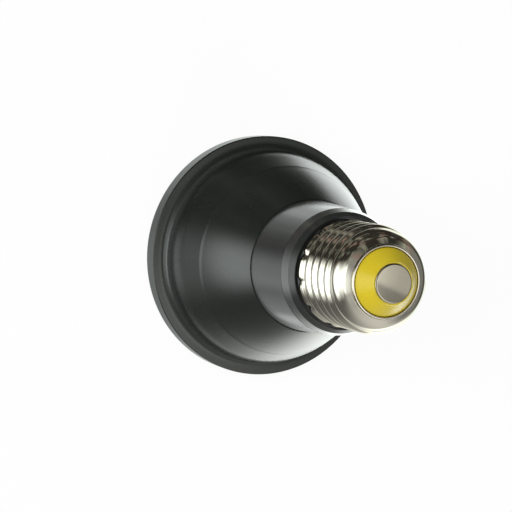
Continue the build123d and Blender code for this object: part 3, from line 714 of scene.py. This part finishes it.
class LAMP_OT_neck(bpy.types.Operator):
    """Driver case: neck, collar with its bevels, groove for the skirt, core, screw posts and board guides"""

    bl_idname = "lamp.neck"
    bl_label = "Neck and collar"

    def execute(self, context):
        s = context.scene.lamp_sizes
        bore = s.neck_radius - s.neck_wall
        floor = s.collar_lip_height - s.groove_depth
        slip = 0.1 * MM
        skirt_bore = s.skirt_radius - s.cap_sheet - slip
        lip_bore = s.collar_lip_radius - 0.25 * MM
        line = 0.12 * MM
        corners = [
            (bore, s.flange_bottom),
            (s.flange_radius, s.flange_bottom),
            (s.flange_radius, s.flange_top),
            (s.neck_radius, s.flange_top),
            (s.neck_radius, s.throat_height),
            (s.collar_radius + 0.02 * MM, s.collar_height - 2 * line),
            (s.collar_radius - line, s.collar_height - line),
            (s.collar_radius, s.collar_height),
            (s.collar_bend_radius, s.collar_bend_height),
            (s.collar_lip_radius, s.collar_lip_height),
            (lip_bore, s.collar_lip_height),
            (lip_bore, floor),
            (s.skirt_radius - slip, floor),
            (s.skirt_radius - slip, s.skirt_bottom),
            (skirt_bore, s.skirt_bottom),
            (skirt_bore, s.thread_start - 0.9 * MM),
            (s.core_radius, s.thread_start),
            (s.core_radius, s.core_top),
            (s.core_radius - s.core_wall, s.core_top),
            (s.core_radius - s.core_wall, s.neck_floor),
            (s.collar_bend_radius - s.neck_wall, s.neck_floor),
            (bore, s.throat_height),
        ]
        # roundings of the throat, the fine line at the collar's foot, then the collar's bend and lip
        radii = np.full(len(corners), 0.05 * MM)
        radii[4] = 0.3 * MM
        radii[5:8] = 0.03 * MM
        radii[8:11] = (0.12 * MM, 0.08 * MM, 0.08 * MM)

        def print_of_crimps(radius, height, angle):
            """The crimps' dents, where they press on the core."""
            core = (radius > s.core_radius - 0.2 * MM) & (height > s.skirt_bottom - 0.05 * MM)
            return crimp_dent(s, height, angle) * core

        case = turned(closed(corners, radii, 4), around=CAP_COLUMNS, dent=print_of_crimps)
        meshes = [case, *self.posts(s), *self.guides(s, bore)]
        finished("neck_case", meshes, case_finish(), "case_moulding", "neck_shell")
        return {"FINISHED"}

    def posts(self, s):
        """Two posts that take the screws of the light source, open towards the front."""
        top = s.seat_height + s.post_length
        deep = top - 1 * MM
        profile = rounded(
            [
                (0, deep),
                (s.post_bore, deep),
                (s.post_bore, s.seat_height),
                (s.post_radius, s.seat_height),
                (s.post_radius, top),
                (0, top),
            ],
            0.1 * MM,
            3,
        )
        place = Matrix.Translation((s.post_circle, 0, 0))
        for angle in SCREW_ANGLES:
            post = turned(profile, joined=False, around=48)
            post.transform(Matrix.Rotation(angle, 4, "Z") @ place)
            yield post

    def guides(self, s, bore):
        """Two pairs of ribs on the neck's inner wall, which hold the driver board between them."""
        for left, right in ((-bore, -s.guide_reach), (s.guide_reach, bore)):
            for front in (s.board_face, s.board_back - s.guide_wall):
                yield block((left, front, s.throat_height), (right, front + s.guide_wall, s.guide_top))


class LAMP_OT_cap(bpy.types.Operator):
    """Screw cap: skirt with crimps, rolled thread, rounded nose and the lip round the insulator"""

    bl_idname = "lamp.cap"
    bl_label = "Screw cap"

    def section(self, s, inset, rows):
        """Radius and height of the sheet without thread: skirt, step to the root, cylinder, and the arc of the
        nose, which ends where it has the slope of the cone."""
        bend = s.nose_bend - inset
        centre = np.array([s.thread_root - s.nose_bend, s.nose_start])
        wall_start = s.thread_start + 1.5 * MM
        turn = np.linspace(0, np.pi / 2 - CONE_SLOPE, 22)[:, None]
        nose = centre + bend * np.hstack([np.cos(turn), np.sin(turn)])
        skirt = rounded(
            [
                (s.skirt_radius - inset, s.skirt_bottom),
                (s.skirt_radius - inset, s.thread_start - 0.8 * MM),
                (s.thread_root - inset, s.thread_start),
                (s.thread_root - inset, wall_start),
            ],
            0.35 * MM,
            5,
        )
        heights = np.linspace(wall_start, s.nose_start, rows)[1:-1, None]
        wall = np.hstack([np.full_like(heights, s.thread_root - inset), heights])
        return np.vstack([skirt, wall, nose])

    def threaded(self, s, base, inset):
        """Grid over the section. The thread's height is half of one plus the cosine of its turns, raised to
        THREAD_BREADTH, which is below one, so that crests are broad and grooves narrow. It climbs one pitch each
        turn to the right and fades at both ends. The crimps' dents are taken from it."""
        angle = ring_angles(CAP_COLUMNS)
        radius, height = base[:, :1], base[:, 1:]
        turns = (height - s.thread_phase) / s.thread_pitch - angle / (2 * np.pi)
        wave = (0.5 + 0.5 * np.cos(2 * np.pi * turns)) ** THREAD_BREADTH
        depth = s.thread_crest - s.thread_root
        leaning = height - angle / (2 * np.pi) * s.thread_pitch * 0.5
        fade = 1 - smooth_step(leaning, s.thread_fade, s.thread_end)
        fade = fade * smooth_step(height, s.skirt_bottom + 1.0 * MM, s.thread_start)
        lifted = radius + depth * wave * fade * (height < s.nose_start + 2 * MM)
        lifted = np.minimum(lifted, np.maximum(s.thread_crest - inset, radius))
        return ring_grid(lifted - crimp_dent(s, height, angle), height, angle)

    def execute(self, context):
        s = context.scene.lamp_sizes
        outer = self.section(s, inset=0.0, rows=150)
        inner = self.section(s, inset=s.cap_sheet, rows=60)[::-1]
        nose_end = outer[-1]
        bead = s.lip_bead
        inwards = np.array([-1, np.tan(CONE_SLOPE)])
        shelf = nose_end + inwards * (nose_end[0] - s.lip_radius - 1.45 * bead)
        lip = rounded(
            [
                nose_end,
                shelf,
                (s.lip_radius + 1.1 * bead, shelf[1] - 0.5 * bead),
                (s.lip_radius + bead, s.lip_height - 0.8 * bead),
                (s.lip_radius + 0.8 * bead, s.lip_height),
                (s.lip_radius - 0.8 * bead, s.lip_height),
                (s.lip_radius - bead, s.lip_height - bead),
                (s.lip_radius - bead, s.lip_height - 2.6 * bead),
                inner[0],
            ],
            [0.06 * MM, 0.04 * MM, 0.1 * MM, 0.2 * MM, 0.2 * MM, 0.08 * MM, 0.05 * MM],
            5,
        )[1:]
        plain = ring_grid(lip[:-1, :1], lip[:-1, 1:], ring_angles(CAP_COLUMNS))
        grid = np.concatenate([self.threaded(s, outer, 0.0), plain, self.threaded(s, inner, s.cap_sheet)])
        finished("cap_shell", [skin(grid, joined=True)], plating_finish(), "cap_plating", "screw_shell")
        return {"FINISHED"}


class LAMP_OT_insulator(bpy.types.Operator):
    """Insulator: glossy cone with a raised rim round the contact"""

    bl_idname = "lamp.insulator"
    bl_label = "Insulator"

    def execute(self, context):
        s = context.scene.lamp_sizes
        hole = 1.5 * MM
        foot = INSULATOR[0].z + 1.2 * MM
        rim = s.contact_radius + 0.5 * MM
        pocket = s.contact_radius + 0.04 * MM
        pocket_floor = s.insulator_top - POCKET_DEPTH
        corners = [
            (hole, INSULATOR[0].z),
            (INSULATOR[1].x, INSULATOR[0].z),
            (INSULATOR[1].x, foot),
            (s.insulator_radius, foot),
            (s.insulator_radius, s.insulator_edge),
            (rim, s.insulator_top - 0.25 * MM),
            (rim - 0.12 * MM, s.insulator_top),
            (pocket, s.insulator_top - 0.03 * MM),
            (pocket, pocket_floor),
            (hole, pocket_floor),
        ]
        radii = np.array([0.05, 0.1, 0.1, 0.1, 0.2, 0.15, 0.1, 0.02, 0.02, 0.05]) * MM
        cone = turned(closed(corners, radii, 5))
        finished("insulator_cone", [cone], glaze_finish(), "insulator_glaze", "cap_insulator")
        return {"FINISHED"}


class LAMP_OT_contact(bpy.types.Operator):
    """End contact: slightly domed disc with a soft bevel on its rivet"""

    bl_idname = "lamp.contact"
    bl_label = "End contact"

    def execute(self, context):
        s = context.scene.lamp_sizes
        seat = s.insulator_top - POCKET_DEPTH
        bottom, rivet, rivet_head = CONTACT[0].z, 1.4 * MM, 2.2 * MM
        head_top = bottom + 0.5 * MM
        face = s.contact_radius - 0.3 * MM
        face_height = s.contact_top - s.contact_dome
        profile = rounded(
            [
                (0, bottom),
                (rivet_head, bottom),
                (rivet_head, head_top),
                (rivet, head_top),
                (rivet, seat),
                (s.contact_radius, seat),
                (s.contact_radius, s.contact_top - 0.2 * MM),
                (face, face_height),
                (0, face_height),
            ],
            np.array([0.1, 0.1, 0.05, 0.05, 0.05, 0.12, 0.25]) * MM,
            5,
        )
        ring = np.linspace(face - 0.3 * MM, 0, 24)[:, None]
        dome = np.hstack([ring, s.contact_top - s.contact_dome * (ring / face) ** 2])
        disc = turned(np.vstack([profile[:-1], dome]), joined=False)
        finished("contact_disc", [disc], contact_finish(), "contact_plating", "centre_contact")
        return {"FINISHED"}


class LAMP_OT_front(bpy.types.Operator):
    """Front of the lamp: clear cover, its retaining ring and the reflector cup"""

    bl_idname = "lamp.front"
    bl_label = "Cover, ring and reflector"

    def execute(self, context):
        s = context.scene.lamp_sizes
        cover = rounded(
            [(0, LENS[0].z), (LENS[1].x, LENS[0].z), (LENS[1].x, LENS[1].z), (0, LENS[1].z)], 0.1 * MM, 4
        )
        finished("cover_disc", [turned(cover, joined=False)], lens_finish(), "clear_cover", "front_lens")
        bevel = RING[1].z - RING[0].z
        ring = closed(
            [
                (s.ring_bore, RING[1].z),
                (s.ring_bore + bevel, RING[0].z),
                (RING[1].x, RING[0].z),
                (RING[1].x, RING[1].z),
            ],
            0.06 * MM,
            4,
        )
        ring_finish = moulded_finish("ring_moulding", (0.03, 0.03, 0.03), 0.35)
        finished("retaining_ring", [turned(ring)], ring_finish, "ring_moulding", "lens_ring")
        start = CUP[1].z - s.cup_wall
        focal = (s.cup_mouth**2 - s.cup_aperture**2) / (start - s.ledge_height)
        radius = np.linspace(s.cup_mouth, s.cup_aperture, 40)
        inside = np.column_stack([radius, start - (radius**2 - s.cup_aperture**2) / focal])
        outside = inside[::-1] + (0, s.cup_wall)
        back = s.ledge_height + s.cup_flange
        flange = [(s.cup_mouth, back), (CUP[1].x, back), (CUP[1].x, s.ledge_height)]
        profile = np.vstack([inside, outside[:-1], flange])[::-1]
        finished("mirror_cup", [turned(profile)], mirror_finish(), "mirror_coat", "reflector_cup")
        return {"FINISHED"}


class LAMP_OT_inside(bpy.types.Operator):
    """Finishes of the light source, heat spreader and driver, which keep their CAD solids"""

    bl_idname = "lamp.inside"
    bl_label = "Inner parts"

    def execute(self, context):
        for node, (slot, make, *details) in INNER_FINISHES.items():
            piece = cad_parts[node]
            piece.data.materials.clear()
            piece.data.materials.append(make(*details))
        return {"FINISHED"}


class LAMP_OT_stage(bpy.types.Operator):
    """Pale floor, soft lights, white surroundings and the camera"""

    bl_idname = "lamp.stage"
    bl_label = "Studio"

    def soft_light(self, name, place, size, power):
        """Square soft light at a place, turned towards the middle of the lamp and not mirrored in it."""
        middle = Vector((0, 0, 0.04))
        data = bpy.data.lights.new(name, "AREA")
        data.shape, data.size, data.energy = "SQUARE", size, power
        light = bpy.data.objects.new(name, data)
        light.location = place
        light.rotation_euler = (middle - Vector(place)).to_track_quat("-Z", "Y").to_euler()
        light.visible_glossy = False
        light.visible_camera = False
        bpy.context.scene.collection.objects.link(light)

    def surroundings(self, studio, forward, up, right):
        """White to the camera. Reflections see a studio: a white backdrop behind the lamp with a card low at its
        left, a soft box at the left that reaches round to the camera, a pale table below, a dark ceiling with
        warm streaks above, a dim wall at the right and a card at the camera's right. Each is a product of smooth
        steps in ahead, high and side, the ray's parts along the camera's view, its upper edge and its right."""
        world = bpy.data.worlds.new("studio")
        bpy.context.scene.world = world
        world.cycles.sampling_method = "NONE"
        finish = Finish(world)
        ray = finish.node("ShaderNodeTexCoord", output="Generated")

        def along(axis):
            """The ray's part along an axis."""
            return finish.node("ShaderNodeVectorMath", {"operation": "DOT_PRODUCT"}, {0: ray, 1: axis}, "Value")

        ahead, high, side = along(forward), along(up), along(right)
        # backdrop, brighter at its right, and the card low at its left
        horizon = ahead + (-high).above(0) * 0.12 - high.above(0) * 0.08
        rightward = side.rise(-0.24, 0.33)
        left_side = (0.65 + high.rise(0, 0.5) * (1 - rightward) * 0.5) * (1 - high.rise(0.56, 0.7))
        right_side = rightward * 2.35 * (1 - (high - side * 0.4).rise(0.45, 0.6))
        backdrop = horizon.rise(0.52, 0.78) * (left_side + right_side)
        backdrop = backdrop * (1 - side.rise(0.38, 0.56) * 0.8) * (1 - side.rise(0.56, 0.64) * 0.8)
        low_card = side.rise(-0.4, -0.3) * (1 - side.rise(-0.1, 0.1)) * (-high).rise(0.34, 0.38)
        low_card = low_card * (1 - (-high).rise(0.44, 0.54)) * ahead.rise(0.7, 0.8) * 0.6
        backdrop = backdrop + low_card
        # soft box at the left, and its end beside the camera
        band = abs(high + 0.07) * (1 + ahead.rise(0, 0.6) * 0.5)
        strip = (-side - ahead * 0.2).rise(0.5, 0.66) * (1 - band.rise(0.15, 0.6))
        glow = ahead.rise(0.15, 0.27) * 1.2 - ahead.rise(0.35, 0.55) * 0.55
        strip = strip * (0.18 + (-ahead).rise(-0.04, 0.16) * 3.7 + glow) * (1 - (-ahead).rise(0.3, 0.55) * 0.5)
        front = (-ahead).rise(0.78, 0.9) * (-side).rise(0.12, 0.3) * 1.9
        front = front * (1 - high.rise(0.15, 0.35)) * (1 - (-high).rise(0.38, 0.52))
        strip = strip.above(front)
        # wall at the right, and the table below
        wall = side.rise(0.75, 0.9) * 0.25
        table = 0.12 + side.rise(-0.7, 0.45) * 0.68 - side.rise(0.5, 0.8) * 0.6 - (-ahead).rise(0.3, 0.7) * 0.02
        table = (-high).rise(0.2, 0.6) * table
        # card at the camera's right with a shaded edge, and a glow round the camera
        edge = side.rise(0.7, 0.735) * (1 - (high + side * 0.53).rise(0.2228, 0.2258))
        card = (0.6 + (-ahead).rise(0.6, 0.76) * 1.5) * side.rise(0.3, 0.5) * (-ahead).rise(0.35, 0.5)
        card = card * (-high).rise(0, 0.15) * (1 - edge * 0.55) * 1.25
        near = (-ahead).rise(0.7, 0.95) * 0.34
        # ceiling, the whole, and its tints
        streaks = finish.node("ShaderNodeTexNoise", inputs={"Vector": ray, "Scale": 4.0, "Detail": 3.0})
        rust = finish.node("ShaderNodeTexNoise", inputs={"Vector": ray, "Scale": 2.6, "Detail": 1.0})
        warm = finish.mix(rust.rise(0.5, 0.6), (0.93, 0.94, 0.8, 1), (1.0, 0.74, 0.64, 1))
        ceiling = high.rise(0.25, 0.6) * streaks.rise(0.5, 0.68) * 0.3
        level = backdrop * studio.backdrop_level + strip * studio.strip_level
        level = level + card + near + table + ceiling + wall + 0.04
        tint = finish.mix(high.rise(0.2, 0.5), (0.92, 0.92, 0.9, 1), warm)
        tint = finish.mix((backdrop + strip).rise(0.2, 0.6), tint, (0.92, 0.97, 0.95, 1))
        tint = finish.mix(table, tint, (0.97, 0.97, 0.92, 1))
        seen = finish.node("ShaderNodeVectorMath", {"operation": "SCALE"}, {0: tint, "Scale": level})
        # plain grey light on matt surfaces, the studio in reflections, white to the camera
        rays = ("Is Glossy Ray", "Is Transmission Ray", "Is Camera Ray")
        glossy, passing, camera = finish.outputs("ShaderNodeLightPath", rays)
        shown = finish.mix(glossy + passing, grey(0.3), seen)
        shown = finish.mix(camera, shown, grey(1.0))
        back = finish.node("ShaderNodeBackground", inputs={"Color": shown, "Strength": 1.0})
        finish.node("ShaderNodeOutputWorld", inputs={"Surface": back})

    def floor(self):
        """Plain floor. It is white to the camera apart from a share of plain matt paint that keeps the shadow,
        and clear from below, so that the front of the lamp can be looked at."""
        reach = 3
        corners = [(-reach, -reach, 0), (reach, -reach, 0), (reach, reach, 0), (-reach, reach, 0)]
        mesh = bpy.data.meshes.new("floor")
        mesh.from_pydata(corners, [], [(0, 1, 2, 3)])
        finish = new_finish("floor_paint")
        camera = finish.node("ShaderNodeLightPath", output="Is Camera Ray")
        matt = finish.node("ShaderNodeBsdfDiffuse", inputs={"Color": grey(0.92)})
        glow = finish.node("ShaderNodeEmission", inputs={"Color": grey(1.0), "Strength": 1.0})
        shown = finish.node("ShaderNodeMixShader", inputs={0: camera * 0.94, 1: matt, 2: glow})
        below = finish.node("ShaderNodeNewGeometry", output="Backfacing")
        clear = finish.node("ShaderNodeBsdfTransparent")
        shown = finish.node("ShaderNodeMixShader", inputs={0: below, 1: shown, 2: clear})
        finish.node("ShaderNodeOutputMaterial", inputs={"Surface": shown})
        mesh.materials.append(finish.owner)
        floor = bpy.data.objects.new("floor", mesh)
        floor.visible_glossy = False
        floor.visible_transmission = False
        bpy.context.scene.collection.objects.link(floor)

    def execute(self, context):
        studio = context.scene.studio_settings
        forward = Vector(studio.camera_view).normalized()
        up = Vector(studio.camera_up).normalized()
        right = forward.cross(up).normalized()
        up = right.cross(forward)
        data = bpy.data.cameras.new("camera")
        data.sensor_width, data.lens = 36.0, studio.focal_length
        data.clip_start, data.clip_end = 0.01, 20.0
        camera = bpy.data.objects.new("camera", data)
        turned_to = Matrix((right, up, -forward)).transposed().to_4x4()
        camera.matrix_world = Matrix.Translation(studio.camera_place) @ turned_to
        context.scene.collection.objects.link(camera)
        context.scene.camera = camera
        self.surroundings(studio, forward, up, right)
        self.floor()
        self.soft_light("key_light", (-0.7, 0.1, 0.6), 0.5, 5.6)
        self.soft_light("fill_light", (0.2, -0.7, 0.6), 0.6, 2.7)
        self.soft_light("top_light", (0.2, 0.5, 0.9), 0.6, 1.2)
        context.scene.view_settings.view_transform = "Standard"
        return {"FINISHED"}


class LAMP_PT_panel(bpy.types.Panel):
    """Sizes, finishes and pieces of the lamp"""

    bl_idname = "LAMP_PT_panel"
    bl_label = "Reflector Lamp"
    bl_space_type = "VIEW_3D"
    bl_region_type = "UI"
    bl_category = "Lamp"

    def draw(self, context):
        for piece in PIECES:
            self.layout.operator(piece.bl_idname)
        for group in (context.scene.lamp_sizes, context.scene.lamp_finishes, context.scene.studio_settings):
            box = self.layout.box()
            for name in group.__annotations__:
                box.prop(group, name)


PIECES = (
    LAMP_OT_housing,
    LAMP_OT_neck,
    LAMP_OT_cap,
    LAMP_OT_insulator,
    LAMP_OT_contact,
    LAMP_OT_front,
    LAMP_OT_inside,
    LAMP_OT_stage,
)
GROUPS = {"lamp_sizes": LampSizes, "lamp_finishes": LampFinishes, "studio_settings": StudioSettings}


def register():
    """Registers the classes and gives the scene its settings."""
    for kind in (*GROUPS.values(), *PIECES, LAMP_PT_panel):
        bpy.utils.register_class(kind)
    for name, kind in GROUPS.items():
        setattr(bpy.types.Scene, name, PointerProperty(type=kind))


def unregister():
    """Takes away what register adds."""
    for name in GROUPS:
        delattr(bpy.types.Scene, name)
    for kind in reversed((*GROUPS.values(), *PIECES, LAMP_PT_panel)):
        bpy.utils.unregister_class(kind)


def main():
    """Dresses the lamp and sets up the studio."""
    register()
    bpy.ops.lamp.housing()
    bpy.ops.lamp.neck()
    bpy.ops.lamp.cap()
    bpy.ops.lamp.insulator()
    bpy.ops.lamp.contact()
    bpy.ops.lamp.front()
    bpy.ops.lamp.inside()
    bpy.ops.lamp.stage()


if __name__ == "__main__":
    main()
